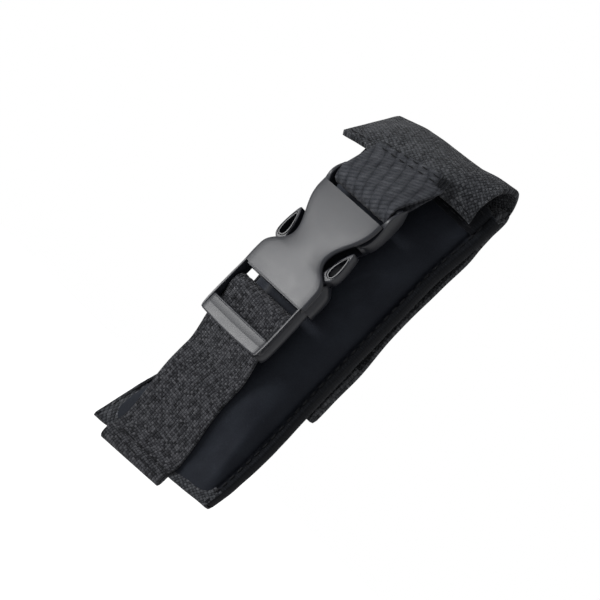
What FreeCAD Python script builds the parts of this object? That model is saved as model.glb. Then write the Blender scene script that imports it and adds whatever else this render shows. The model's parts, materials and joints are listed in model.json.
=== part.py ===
"""Belt pouch for a flashlight: webbing back and flap, cloth front, side-release buckle.

The pouch stands upright as it hangs on a belt: +Z up, the front towards -Y, +X to the right
of someone who looks at its front. Heights are measured up from the bottom seam, and put() then
lowers every piece by belt_height, so that the origin lies on the outer face of the back panel,
in the middle of the belt channel.
"""
import FreeCAD, Part
import math
import os

V = FreeCAD.Vector

# ---- driving dimensions, in millimetres and degrees ----
skin = 0.06                 # air between layers that touch

pouch_height = 138.0        # bottom seam to the top of the flap's fold
back_width = 50.0           # 2 inch webbing
back_thick = 2.0
cloth_thick = 1.0
mouth_below = 11.5          # the mouth's edge, below the top of the fold
pouch_depth = 17.0          # back face to the outside of the cloth, where it is deepest
mouth_depth = 14.0
seam_allowance = 2.0        # cloth that lies flat on the back webbing, each side
bottom_lift = 5.5           # how far the bottom seam stands forward of the back
bottom_twist = 8.0          # turn of the bottom seam about the pouch's length
lift_height = 30.0          # from here up the back is flat
belly_height = 46.0         # from here up the pouch has its full depth

binding_thick = 0.8
binding_leg = 2.0           # how far the edge tape reaches in over the cloth
band_height = 9.0           # hem band round the mouth
band_thick = 0.8

flap_drop = 20.0            # fold to hem
flap_clear = 0.8            # room between the strap's end and the mouth band
flap_droop = 9.0            # how far the flap's side edges wrap back at the hem
flap_bend_below = 2.5       # the flap's face is straight up to here, below the mouth's edge
flap_inset = 0.5            # flap narrower than the back, each side
flap_gap = 0.45             # between the back webbing's top and the flap
flap_lean = 0.15            # above its hem the flap leans back, per millimetre
fold_height = 5.6           # the flap's bend starts this far below the top

strap_width = 25.4          # 1 inch webbing
strap_thick = 1.5
strap_offset = -3.0         # the lower strap is sewn this far off centre
strap_lap = 6.0             # upper strap sewn over the flap's hem
strap_run = 11.8            # hem to the socket's bar
anchor_drop = 4.6           # how far the sewn strap end hangs below the seam
swing_height = 2.0          # the lower strap bends here

socket_length = 34.5        # mouth to the top edge of its face
socket_thick = 9.0
socket_edge = 1.1           # chamfer round its front face
buckle_clear = 1.0          # between the buckle and the cloth behind it
slot_spare = 0.6            # slot wider than the webbing, each side
face_rim = 1.0              # face wider than the slot, each side
ear_wall = 1.3              # ears that hold the bar
ear_rise = 9.7              # ears above the face's top edge
ear_front = 1.2             # ears set back from the face
ear_back = 0.9              # and from the back
ear_tip = 5.6               # depth of their tips behind the face
waist_half = 8.0
plate_thick = 1.5           # front and back plates of the socket
wall_thick = 1.4            # side walls at the mouth
bar_radius = 1.6
bar_rise = 6.7              # bar centre above the face's top edge

plug_thick = 6.0
plug_step = 0.4             # plug's face behind the socket's
plug_rail = 1.2             # side rails
plug_collar = 1.7           # collar under the mouth
plug_window = 12.4          # height of the plug's window
end_bar = 5.6               # height of its lowest bar
end_bar_depth = 3.0
rung_radius = 1.5           # half thickness of the bar the webbing wraps
rung_rise = 6.9             # its middle above the window's lower edge
groove_radius = 4.4         # thumb groove along the end bar
groove_depth = 0.5
mouth_gap = 0.4

arm_clear = 0.5             # between the spring arms and the plates
arm_width = 2.6
arm_root = 8.6              # distance of each arm's root from the middle
head_inset = 0.2            # arm's head inside the widest part of the face, each side
head_low = 12.8             # the head's catch above the mouth
head_long = 10.2
eye_radius = 1.0            # slot through the head

belt_gap = 5.0              # room for the belt
belt_room = 40.0            # height of the belt channel
belt_slope = 6.0            # above the channel the flap comes in to its seam
belt_seam = 13.0            # height of its sewn top
belt_seam_above = 1.0       # sewn top above the pouch's mouth
belt_inset = 0.5            # belt flap narrower than the back, each side
belt_tail = 26.5            # channel to the belt flap's lower end
belt_hem = 22.0             # its lower end, folded up inside
tape_inset = 6.0
tape_height = 20.0
tape_thick = 1.8

thread_radius = 0.28
stitch_length = 2.2
stitch_pitch = 3.6

# ---- places that follow from them ----
mouth_height = pouch_height - mouth_below
hem_height = pouch_height - flap_drop
back_top = pouch_height - fold_height               # hinge line of the flap
bar_height = hem_height - strap_run
face_top = bar_height - bar_rise
mouth_line = face_top - socket_length               # the buckle's mouth
buckle_front = -pouch_depth - buckle_clear - socket_thick
strap_mid = buckle_front + socket_thick / 2         # the plane of the buckle's bars
slot_half = strap_width / 2 + slot_spare
socket_half = slot_half + face_rim
ear_half = slot_half + ear_wall
plug_half = slot_half + plug_rail
plug_top = mouth_line - mouth_gap
window_top = plug_top - plug_collar
window_low = window_top - plug_window
plug_low = window_low - end_bar
rung_height = window_low + rung_rise
head_half = socket_half - head_inset
ear_thick = socket_thick - ear_front - ear_back
arm_thick = socket_thick - 2 * plate_thick - 2 * arm_clear

flap_half = back_width / 2 - flap_inset
flap_flat = strap_width / 2 + 1.1                   # flat half of the flap under the strap
belt_seam_top = mouth_height + belt_seam_above
belt_seam_low = belt_seam_top - belt_seam           # below this the belt flap swings
channel_top = belt_seam_low - belt_slope
channel_low = channel_top - belt_room
belt_flap_low = channel_low - belt_tail
belt_half = back_width / 2 - belt_inset
tape_half = back_width / 2 - tape_inset
belt_height = (channel_top + channel_low) / 2
off = thread_radius + skin                          # thread centre above the cloth


def put(name, shape):
    """Lower a finished piece into the part's frame and write it."""
    shape = shape.copy()
    shape.translate(V(0, 0, -belt_height))
    shape.exportStep("parts/%s.step" % name)
    state = "" if shape.isValid() and shape.Solids else "  not valid"
    print("%-22s %3d solids %9.1f mm3%s" % (name, len(shape.Solids), shape.Volume, state))


# ---- the soft body: each layer is a section in one moving frame ----
def low_share(height):
    """1 at the bottom seam, fading to 0 where the back is flat."""
    return max(0.0, 1.0 - max(0.0, height) / lift_height) ** 2


def place(across, forward, height):
    """A point across the pouch and forward of its back face, at a height."""
    turn = math.radians(bottom_twist * low_share(height))
    x = across * math.cos(turn) + forward * math.sin(turn)
    y = across * math.sin(turn) - forward * math.cos(turn) - bottom_lift * low_share(height)
    return V(x, y, height)


def closed(points):
    return Part.makePolygon(points + points[:1])


def layer(section, heights):
    """A solid through the outlines section(height)."""
    wires = [closed([place(a, f, h) for a, f in section(h)]) for h in heights]
    return Part.makeLoft(wires, True, True)


def depth_at(height):
    """Back face to the front of the cloth, from the flat bottom to the mouth."""
    flat = back_thick + cloth_thick + 0.3
    rise = math.sin(math.pi / 2 * min(1.0, height / belly_height))
    high = max(0.0, height - belly_height) / (mouth_height - belly_height)
    return flat + (pouch_depth - flat) * rise - (pouch_depth - mouth_depth) * high ** 2


def bulge(height, grow, count=14):
    """The front's curve from right to left, moved outwards by grow."""
    half = back_width / 2 - seam_allowance + grow
    base = back_thick + cloth_thick + grow
    rise = depth_at(height) + grow - base
    turns = [math.pi * i / count for i in range(count + 1)]
    return [(half * math.cos(t), base + rise * math.sin(t) ** 0.75) for t in turns]


def back_section(height):
    half = back_width / 2
    return [(-half, 0), (half, 0), (half, back_thick), (-half, back_thick)]


def front_section(height):
    edge = back_width / 2
    outside, inside = back_thick + cloth_thick, back_thick + skin
    outer = [(edge, outside)] + bulge(height, 0.0) + [(-edge, outside)]
    inner = [(-edge, inside)] + bulge(height, skin - cloth_thick)[::-1] + [(edge, inside)]
    return outer + inner


def binding_section(side):
    """Edge tape folded over the cloth and the back webbing."""
    out = back_width / 2 + skin
    wide = out + binding_thick
    leg = out - binding_leg
    front = back_thick + cloth_thick + skin
    outline = [(leg, -skin - binding_thick), (wide, -skin - binding_thick),
               (wide, front + binding_thick), (leg, front + binding_thick),
               (leg, front), (out, front), (out, -skin), (leg, -skin)]
    return lambda height: [(side * a, f) for a, f in outline]


def band_section(height):
    return bulge(height, band_thick + skin)[1:-1] + bulge(height, skin)[-2:0:-1]


low_heights = [lift_height * i / 6 for i in range(7)]
belly_heights = [(lift_height + belly_height) / 2, belly_height]
upper_heights = [belly_height + (mouth_height - belly_height) * i / 4 for i in range(1, 5)]


def back_panel():
    """The back webbing, with a rounded top edge under the flap's bend."""
    radius = back_thick / 2
    top = back_top - flap_gap - back_thick
    web = layer(back_section, low_heights + [top])
    edge = Part.makeCylinder(radius, back_width, V(-back_width / 2, -radius, top), V(1, 0, 0))
    return web.fuse(edge).removeSplitter()


# ---- straps: flat bands along a path ----
def band(path, width, thick):
    """Webbing along centre points (x, y, z, turn), its width turned about Z by turn degrees."""
    wires = []
    for i, (x, y, z, turn) in enumerate(path):
        before = V(*path[max(i - 1, 0)][:3])
        after = V(*path[min(i + 1, len(path) - 1)][:3])
        way = after - before
        across = V(math.cos(math.radians(turn)), math.sin(math.radians(turn)), 0)
        normal = across.cross(V(0, way.y, way.z)).normalize() * (thick / 2)
        across = across * (width / 2)
        middle = V(x, y, z)
        wires.append(closed([middle - across + normal, middle + across + normal,
                             middle + across - normal, middle - across - normal]))
    return Part.makeLoft(wires, True, True)


def arc_points(y_mid, z_mid, radius, start, stop, count):
    """Path points on an arc in the Y-Z plane; angles from +Y towards +Z."""
    turns = [math.radians(start + (stop - start) * i / count) for i in range(count + 1)]
    return [(0, y_mid + radius * math.cos(t), z_mid + radius * math.sin(t), 0) for t in turns]


def rounded(web, point, width, thick):
    """Round the end of a band where it bends, a hair inside its faces."""
    x, y, z, turn = point
    across = V(math.cos(math.radians(turn)), math.sin(math.radians(turn)), 0)
    edge = Part.makeCylinder(thick / 2 - 0.02, width, V(x, y, z) - across * (width / 2), across)
    return web.fuse(edge).removeSplitter()


# the flap hangs clear of the strap's inner end in the middle, and of the hem band at the sides
flap_slope = flap_droop / (flap_half - flap_flat)
band_room = band_thick + skin + 2 * off + 0.1       # the band with its stitches
room_in_middle = depth_at(hem_height) + band_thick + strap_thick + 3 * skin + flap_clear
room_at_sides = max(forward + flap_slope * max(0.0, abs(across) - flap_flat)
                    for across, forward in bulge(hem_height, band_room, 40))
flap_front = max(room_in_middle, room_at_sides) + back_thick / 2
flap_outside = -flap_front - back_thick / 2


def flap_line():
    """The flap's centre line down to its hem: y, z, and the share of the droop at its sides."""
    crown, y = pouch_height - back_thick / 2, -back_thick / 2
    reach = flap_front + y - 6.0
    straight = max(strap_lap, mouth_height - flap_bend_below - hem_height)
    return [(y, back_top, 0), (y - 0.7, back_top + 2.6, 0), (y - 2.9, crown - 0.3, 0.02),
            (y - 6.0, crown - 0.5, 0.09), (y - 6.0 - 0.3 * reach, crown - 2.8, 0.25),
            (y - 6.0 - 0.59 * reach, crown - 7.0, 0.55),
            (flap_lean * straight - flap_front, hem_height + straight, 0.82),
            (-flap_front, hem_height, 1)]


def flap_row(line, i, out):
    """Four points across the flap at one point of its line, this far outside its middle."""
    y, z, share = line[i]
    before, after = line[max(i - 1, 0)], line[min(i + 1, len(line) - 1)]
    inward = V(0, before[1] - after[1], after[0] - before[0]).normalize()
    rim = [(-flap_half, flap_droop * share), (-flap_flat, 0), (flap_flat, 0),
           (flap_half, flap_droop * share)]
    return [V(x, y, z) + inward * (droop - out) for x, droop in rim]


def flap_panel():
    """Folds over the top from the back and hangs down in front of the mouth."""
    half_thick = back_thick / 2
    line = flap_line()
    wires = [closed(flap_row(line, i, -half_thick) + flap_row(line, i, half_thick)[::-1])
             for i in range(len(line))]
    web = Part.makeLoft(wires, True, True)
    return rounded(web, (0, -half_thick, back_top, 0), 2 * flap_half, back_thick)


def upper_strap():
    """Sewn over both faces of the flap's hem and looped round the socket's bar."""
    half = strap_thick / 2
    outside = flap_outside - 2 * skin - half
    inside = -flap_front + back_thick / 2 + 2 * skin + half
    top = hem_height + strap_lap
    lean = flap_lean * strap_lap
    path = [(0, outside + lean, top, 0), (0, outside, hem_height, 0),
            (0, outside - 0.10 * strap_run, hem_height - 0.42 * strap_run, 0)]
    path += arc_points(strap_mid, bar_height, bar_radius + skin + half, 165, 375, 14)
    path += [(0, inside, hem_height - 0.34 * strap_run, 0), (0, inside, hem_height, 0),
             (0, inside + 0.8 * lean, hem_height + 0.8 * strap_lap, 0)]
    return band(path, strap_width, strap_thick)


# the lower strap and its sewn end lie on the cloth at the bottom seam
anchor_forward = back_thick + cloth_thick + 0.9
anchor_middle = place(strap_offset, anchor_forward + strap_thick / 2, 0)


def strap_start(height):
    return (anchor_middle.x, anchor_middle.y, height, bottom_twist)


def lower_strap():
    """From the bottom seam up behind the plug's end bar, round its rung and back down."""
    half = strap_thick / 2
    loop = rung_radius + skin + half
    rear = buckle_front + plug_step + end_bar_depth + 3 * skin + half
    tail = strap_mid + loop + 0.2
    path = [strap_start(swing_height)]
    for share in (0.14, 0.33, 0.53, 0.76):
        out = math.sin(share * math.pi / 2) ** 0.9
        path.append((anchor_middle.x * (1 - share), anchor_middle.y + (rear - anchor_middle.y) * out,
                     swing_height + share * (plug_low - swing_height), bottom_twist * (1 - share)))
    path += [(0, rear, plug_low, 0), (0, rear, window_low + 0.6, 0)]
    path += arc_points(strap_mid, rung_height, loop, 200, -20, 12)
    path += [(0, tail, rung_height - 5.0, 0), (0, tail, plug_low - 6.0, 0)]
    return rounded(band(path, strap_width, strap_thick), path[0], strap_width, strap_thick)


def strap_anchor():
    """The strap's folded end, sewn across the bottom seam."""
    x, y, top, turn = strap_start(swing_height - strap_thick - 0.3)
    fold = strap_thick / 2 + skin
    path = [(x, y, top, turn)]
    for px, py, pz, _ in arc_points(y + fold, strap_thick - anchor_drop, fold, 180, 360, 6):
        path.append((x + px, py, pz, turn))
    path.append((x, y + 2 * fold, -0.6, turn))
    return rounded(band(path, strap_width, strap_thick), path[0], strap_width, strap_thick)


# ---- the buckle ----
def prism(points, y_front, depth):
    """An outline in X-Z, extruded back from its front face."""
    wire = closed([V(x, y_front, z) for x, z in points])
    return Part.Face(wire).extrude(V(0, depth, 0))


def side_prism(points, half):
    """An outline of depths behind the buckle's face and heights, across the whole buckle."""
    wire = closed([V(-half, buckle_front + depth, z) for depth, z in points])
    return Part.Face(wire).extrude(V(2 * half, 0, 0))


def waisted_prism(right, y_front, depth):
    """A smooth right-hand edge, listed upwards, mirrored and extruded."""
    sides = []
    for sign in (1, -1):
        curve = Part.BSplineCurve()
        curve.interpolate([V(sign * x, y_front, z) for x, z in right])
        sides.append(curve.toShape())
    ends = [Part.makeLine(V(x, y_front, z), V(-x, y_front, z)) for x, z in (right[0], right[-1])]
    wire = Part.Wire(Part.sortEdges(sides + ends)[0])
    return Part.Face(wire).extrude(V(0, depth, 0))


def break_edges(solid, y_face, size):
    """Chamfer all round the face at y_face."""
    edges = [e for e in solid.Edges if abs(e.CenterOfMass.y - y_face) < 1e-6]
    return solid.makeChamfer(size, edges)


def cross_bar(radius, height):
    """A round bar across the webbing's slot, let 0.5 mm into both sides."""
    reach = slot_half + 0.5
    return Part.makeCylinder(radius, 2 * reach, V(-reach, strap_mid, height), V(1, 0, 0))


def buckle_socket():
    """Waisted shell, open at its mouth and sides, with ears that hold the strap's bar."""
    low, high = mouth_line, face_top
    side = [(socket_half, low), (socket_half, low + 6.0), (socket_half - 0.9, low + 9.2),
            (waist_half + 2.2, low + 12.2), (waist_half, low + 16.0),
            (waist_half + 1.2, low + 19.8), (waist_half + 3.4, low + 24.2),
            (socket_half - 1.2, high - 5.6), (socket_half - 0.6, high - 2.0),
            (socket_half - 0.7, high)]
    shell = waisted_prism(side, buckle_front, socket_thick)
    shell = break_edges(shell, buckle_front, socket_edge)
    shell = break_edges(shell, buckle_front + socket_thick, socket_edge - 0.3)
    ear = [(waist_half + 2.6, high - 9.9), (socket_half - 1.7, high - 8.5),
           (ear_half - 0.5, high - 5.5), (ear_half, high - 1.5), (ear_half, high + ear_rise),
           (slot_half, high + ear_rise), (slot_half, high - 0.6), (waist_half + 2.6, high - 0.6)]
    back = socket_thick - ear_back
    fin = side_prism([(ear_front, high - 10.5), (ear_front, high + 1.5), (ear_front + 0.7, high + 5.9),
                      (ear_tip - 1.2, high + ear_rise - 0.6), (ear_tip, high + ear_rise),
                      (back - 0.6, high + 6.7), (back, high + 2.5), (back, high - 10.5)], ear_half)
    for sign in (1, -1):
        outline = [(sign * x, z) for x, z in ear]
        shell = shell.fuse(prism(outline, buckle_front + ear_front, ear_thick).common(fin))
    shell = shell.fuse(cross_bar(bar_radius, bar_height))
    half = socket_half - wall_thick
    room = Part.makeBox(2 * half, socket_thick - 2 * plate_thick, head_low + head_long + 3.0,
                        V(-half, buckle_front + plate_thick, low - 1))
    return shell.cut(room).removeSplitter()


def buckle_plug():
    """Collar, side rails, rung and end bar of the buckle's lower half."""
    front = buckle_front + plug_step
    inset = plug_half - 0.5
    right = [(plug_half - 1.7, plug_low), (inset, plug_low + 1.2), (plug_half, plug_low + 4.0),
             (inset, window_top), (inset, plug_top)]
    left = [(-x, z) for x, z in right[::-1]]
    frame = prism(right + left, front, plug_thick)
    span = 2 * slot_half
    frame = frame.cut(Part.makeBox(span, plug_thick + 2, plug_window,
                                   V(-slot_half, front - 1, window_low)))
    # the end bar is thinner than the rails, so that the webbing passes behind it
    frame = frame.cut(Part.makeBox(span, plug_thick, end_bar + 2,
                                   V(-slot_half, front + end_bar_depth, plug_low - 1)))
    middle = V(-slot_half, front + groove_depth - groove_radius, plug_low + 0.42 * end_bar)
    groove = Part.makeCylinder(groove_radius, span, middle, V(1, 0, 0))
    return frame.cut(groove).fuse(cross_bar(rung_radius, rung_height)).removeSplitter()


def spring_arm(side):
    """One sprung arm with its looped head, standing in the socket."""
    low, catch, tip = mouth_line, mouth_line + head_low, mouth_line + head_low + head_long
    root_in, root_out = arm_root - arm_width / 2, arm_root + arm_width / 2
    outline = [(root_in, low), (root_out, low), (root_out + 0.9, low + 9.0),
               (head_half - 1.5, catch - 0.8), (head_half - 0.3, catch + 0.8),
               (head_half, catch + 4.8), (head_half - 0.4, tip - 2.0), (head_half - 1.2, tip),
               (head_half - 2.4, tip - 1.2), (head_half - 3.6, catch + 6.6),
               (head_half - 4.0, catch + 5.0), (head_half - 4.6, catch + 2.2),
               (arm_root + 0.4, catch - 1.0), (root_in, low + 8.0)]
    body = prism([(side * x, z) for x, z in outline], strap_mid - arm_thick / 2, arm_thick)
    front, through = strap_mid - arm_thick / 2 - 1, arm_thick + 2
    ends = [(head_half - 2.5, catch + 3.0), (head_half - 1.9, catch + 5.8)]
    for x, z in ends:
        body = body.cut(Part.makeCylinder(eye_radius, through, V(side * x, front, z), V(0, 1, 0)))
    (low_x, low_z), (high_x, high_z) = ends
    slot = [(low_x - eye_radius, low_z), (low_x + eye_radius, low_z),
            (high_x + eye_radius, high_z), (high_x - eye_radius, high_z)]
    body = body.cut(prism([(side * x, z) for x, z in slot], front, through))
    return body.removeSplitter()


# ---- belt flap on the back ----
belt_on_back = 2 * skin + binding_thick + back_thick / 2
belt_on_tape = 3 * skin + 2 * tape_thick + back_thick / 2
belt_fold = back_thick / 2 + skin                   # radius of the fold at its lower end


def belt_flap():
    """Hangs from its seam, clears the belt and closes on the hook tape with a folded end."""
    out = belt_on_back + belt_gap
    bend_height = belt_flap_low + belt_fold + back_thick / 2
    path = [(0, belt_on_back, belt_seam_low, 0), (0, out, channel_top, 0), (0, out, channel_low, 0),
            (0, belt_on_tape + 2 * belt_fold, belt_flap_low + belt_hem, 0)]
    path += arc_points(belt_on_tape + belt_fold, bend_height, belt_fold, 0, -180, 8)
    path.append((0, belt_on_tape, belt_flap_low + belt_hem, 0))
    return rounded(band(path, 2 * belt_half, back_thick), path[0], 2 * belt_half, back_thick)


def belt_anchor():
    """The belt flap's top, sewn to the back."""
    low = (0, belt_on_back, belt_seam_low + back_thick + 0.3, 0)
    web = band([low, (0, belt_on_back, belt_seam_top, 0)], 2 * belt_half, back_thick)
    return rounded(web, low, 2 * belt_half, back_thick)


def tape(y_low):
    return Part.makeBox(2 * tape_half, tape_thick, tape_height,
                        V(-tape_half, y_low, belt_flap_low + 0.5))


# ---- sewing thread: each stitch is a short round thread on the surface ----
def row(points):
    """A stitch in the middle of each step along the points."""
    stitches = []
    for before, after in zip(points, points[1:]):
        way = (after - before).normalize()
        start = (before + after) / 2 - way * (stitch_length / 2)
        stitches.append(Part.makeCylinder(thread_radius, stitch_length, start, way))
    return stitches


def straight_row(start, stop):
    count = max(1, int((stop - start).Length / stitch_pitch))
    return row([start + (stop - start) * (i / count) for i in range(count + 1)])


def steps(low, high):
    count = max(1, int((high - low) / stitch_pitch))
    return [low + (high - low) * i / count for i in range(count + 1)]


def side_stitching(side):
    across = side * (back_width / 2 - binding_leg / 2 + 0.4)
    forward = back_thick + cloth_thick + skin + binding_thick + off
    return Part.makeCompound(row([place(across, forward, h) for h in steps(4, mouth_height - 4)]))


def mouth_stitching():
    """Two rows round the hem band."""
    stitches = []
    for height in (mouth_height - 1.6, mouth_height - band_height + 1.6):
        curve = bulge(height, band_thick + skin + off + 0.1, 18)
        stitches += row([place(a, f, height) for a, f in curve[2:-2]])
    return Part.makeCompound(stitches)


def bottom_stitching():
    half = back_width / 2 - 3.0
    return Part.makeCompound(row([place(a, -off, 2.2) for a in steps(-half, half)]))


def flap_stitching():
    """A row along the flap's hem on each side of the strap."""
    line = flap_line()
    out = back_thick / 2 + off * math.hypot(1, flap_slope) + 0.1
    hem, above = (flap_row(line, i, out) for i in (len(line) - 1, len(line) - 2))
    stitched = [low + (high - low) * 0.28 for low, high in zip(hem, above)]
    stitches = []
    for flat_end, edge in ((1, 0), (2, 3)):
        way = (stitched[edge] - stitched[flat_end]).normalize()
        stitches += straight_row(stitched[flat_end] + way, stitched[edge] - way * 1.8)
    return Part.makeCompound(stitches)


def loop_stitching():
    """Rows that sew the upper strap through the flap's hem."""
    stitches = []
    half = strap_width / 2 - 2.0
    for rise in (1.4, strap_lap - 1.2):
        y = flap_outside - 3 * skin - strap_thick - off + flap_lean * rise
        stitches += straight_row(V(-half, y, hem_height + rise), V(half, y, hem_height + rise))
    return Part.makeCompound(stitches)


def anchor_stitching():
    """Rows that sew the strap's end through the bottom seam."""
    forward = anchor_forward + strap_thick + off
    half = strap_width / 2 - 2.4
    stitches = []
    for height in (-0.6, -2.6):
        ends = [place(strap_offset + a, forward, 0) + V(0, 0, height) for a in (-half, half)]
        stitches += straight_row(*ends)
    return Part.makeCompound(stitches)


def belt_stitching():
    """A box with a diagonal that sews the belt flap's top to the back."""
    y = belt_on_back + back_thick / 2 + off
    half = belt_half - 3.0
    low, top, inset = belt_seam_low + back_thick + 2.6, belt_seam_top - 2.2, 1.6
    stitches = straight_row(V(-half, y, low), V(half, y, low))
    stitches += straight_row(V(-half, y, top), V(half, y, top))
    for x in (-half, half):
        stitches += straight_row(V(x, y, low + inset), V(x, y, top - inset))
    stitches += straight_row(V(-half + inset, y, low + inset), V(half - inset, y, top - inset))
    return Part.makeCompound(stitches)


def tape_stitching():
    y = belt_on_tape + 2 * belt_fold + back_thick / 2 + off
    half = tape_half - 1.5
    stitches = []
    for height in (belt_flap_low + 2.0, belt_flap_low + tape_height - 1.0):
        stitches += straight_row(V(-half, y, height), V(half, y, height))
    return Part.makeCompound(stitches)


os.makedirs("parts", exist_ok=True)

put("back_panel", back_panel())
put("front_panel", layer(front_section, low_heights + belly_heights + upper_heights))
for side, word in ((-1, "left"), (1, "right")):
    put(word + "_binding", layer(binding_section(side), low_heights + [mouth_height - 0.5]))
    put(word + "_side_stitching", side_stitching(side))
    put(word + "_arm", spring_arm(side))
band_low = mouth_height - band_height
put("mouth_band", layer(band_section, [band_low, band_low + band_height / 2, mouth_height]))
put("mouth_stitching", mouth_stitching())
put("bottom_stitching", bottom_stitching())
put("flap_panel", flap_panel())
put("flap_stitching", flap_stitching())
put("upper_strap", upper_strap())
put("loop_stitching", loop_stitching())
put("buckle_socket", buckle_socket())
put("buckle_plug", buckle_plug())
put("lower_strap", lower_strap())
put("strap_anchor", strap_anchor())
put("anchor_stitching", anchor_stitching())
put("belt_flap", belt_flap())
put("belt_anchor", belt_anchor())
put("belt_stitching", belt_stitching())
put("loop_tape", tape(skin))
put("hook_tape", tape(2 * skin + tape_thick))
put("tape_stitching", tape_stitching())
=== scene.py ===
import json
import math
from functools import partial

import bpy
from mathutils import Matrix, Vector, noise
from mathutils.geometry import interpolate_bezier


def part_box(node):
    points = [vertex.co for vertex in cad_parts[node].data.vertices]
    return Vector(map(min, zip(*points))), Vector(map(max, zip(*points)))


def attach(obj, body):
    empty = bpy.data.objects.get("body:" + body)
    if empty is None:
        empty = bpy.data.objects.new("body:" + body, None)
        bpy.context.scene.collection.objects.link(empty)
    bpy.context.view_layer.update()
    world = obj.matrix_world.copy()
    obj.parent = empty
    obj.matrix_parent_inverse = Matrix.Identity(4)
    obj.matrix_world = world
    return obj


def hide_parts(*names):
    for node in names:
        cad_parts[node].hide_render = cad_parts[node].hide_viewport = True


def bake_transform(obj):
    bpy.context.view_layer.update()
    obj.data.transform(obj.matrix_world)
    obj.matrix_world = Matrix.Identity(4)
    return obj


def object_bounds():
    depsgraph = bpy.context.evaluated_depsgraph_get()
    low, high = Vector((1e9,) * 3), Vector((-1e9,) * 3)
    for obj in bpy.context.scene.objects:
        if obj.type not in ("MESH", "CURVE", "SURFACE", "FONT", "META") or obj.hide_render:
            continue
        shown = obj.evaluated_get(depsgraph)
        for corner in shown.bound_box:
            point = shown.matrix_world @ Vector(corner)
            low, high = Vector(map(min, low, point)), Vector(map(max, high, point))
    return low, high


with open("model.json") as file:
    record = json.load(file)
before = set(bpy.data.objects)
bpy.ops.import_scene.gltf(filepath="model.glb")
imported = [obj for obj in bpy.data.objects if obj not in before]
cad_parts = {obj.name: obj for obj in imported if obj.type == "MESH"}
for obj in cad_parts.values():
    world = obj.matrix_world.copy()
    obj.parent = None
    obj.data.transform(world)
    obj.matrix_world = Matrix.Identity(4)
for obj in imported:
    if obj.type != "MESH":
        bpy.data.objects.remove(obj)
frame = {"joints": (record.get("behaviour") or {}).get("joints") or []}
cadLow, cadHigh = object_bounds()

# A belt pouch of black webbing and cloth, closed by a side release buckle.
# Lengths here are in millimetres and heights count up from the bottom seam, as on a cutting
# table. at() takes them into the frame, which is in metres.
mm = 0.001
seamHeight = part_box("front_panel")[0].z / mm
noise.seed_set(4)                               # the cloth's unevenness is the same each run


def at(x, y, height):
    return Vector((x, y, height + seamHeight)) * mm


def boxMm(node):
    low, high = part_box(node)
    lift = Vector((0, 0, seamHeight))
    return low / mm - lift, high / mm - lift


frontLow, frontHigh = boxMm("front_panel")
socketLow, socketHigh = boxMm("buckle_socket")
plugLow, plugHigh = boxMm("buckle_plug")
beltLow, beltHigh = boxMm("belt_flap")
beltTopLow, beltTopHigh = boxMm("belt_anchor")
hookLow, hookHigh = boxMm("hook_tape")

halfWidth = -boxMm("back_panel")[0].x           # half of the 2 inch webbing
halfStrap = boxMm("upper_strap")[1].x           # half of the 1 inch webbing
bandBottom = boxMm("mouth_band")[0].z
armFace = boxMm("right_arm")[0].y
mouthTop = frontHigh.z
mouthLine = socketLow.z                         # where the buckle's halves meet
buckleMiddle = (socketLow.y + socketHigh.y) / 2
webThick, strapThick, clothThick, tapeThick = 2.0, 1.5, 1.0, 0.8
skin = 0.06                                     # air between layers that touch
sides = ((-1, "left"), (1, "right"))


# modelling helpers
def deselectAll():
    if bpy.context.object and bpy.context.object.mode != "OBJECT":
        bpy.ops.object.mode_set(mode="OBJECT")
    bpy.ops.object.select_all(action="DESELECT")


def pick(piece):
    deselectAll()
    piece.select_set(True)
    bpy.context.view_layer.objects.active = piece


def addShape(kind, name, **settings):
    # adds a primitive, to be shaped
    deselectAll()
    getattr(bpy.ops.mesh, f"primitive_{kind}_add")(**settings)
    piece = bpy.context.object
    piece.name = name
    return piece


def editAll(piece, **steps):
    # runs edit mode's operators, each with its settings, on the whole piece
    pick(piece)
    bpy.ops.object.mode_set(mode="EDIT")
    bpy.ops.mesh.select_all(action="SELECT")
    for operator, settings in steps.items():
        getattr(bpy.ops.mesh, operator)(**settings)
    bpy.ops.object.mode_set(mode="OBJECT")


def modify(piece, kind, **settings):
    # adds a modifier and applies it at once
    pick(piece)
    modifier = piece.modifiers.new(kind.title(), kind)
    for name, value in settings.items():
        setattr(modifier, name, value)
    bpy.ops.object.modifier_apply(modifier=modifier.name)


def mend(piece, merge=0.00001):
    # merges doubled points and turns every face outwards
    editAll(piece, remove_doubles={"threshold": merge}, normals_make_consistent={"inside": False})


def combine(piece, other, operation):
    modify(piece, "BOOLEAN", object=other, operation=operation, solver="EXACT")
    bpy.data.objects.remove(other)


def ease(low, high, value):
    # 0 below low, 1 above high and smooth between
    share = min(1.0, max(0.0, (value - low) / (high - low)))
    return share * share * (3 - 2 * share)


def hump(middle, reach, value):
    # 1 at the middle, fading to nothing on both sides
    return math.exp(-((value - middle) / reach) ** 2)


def bulge(humps, value):
    # the sum of humps, each with its size, middle and reach
    return sum(much * hump(middle, reach, value) for much, middle, reach in humps)


def circlePoint(radius, degrees):
    return radius * math.cos(math.radians(degrees)), radius * math.sin(math.radians(degrees))


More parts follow.
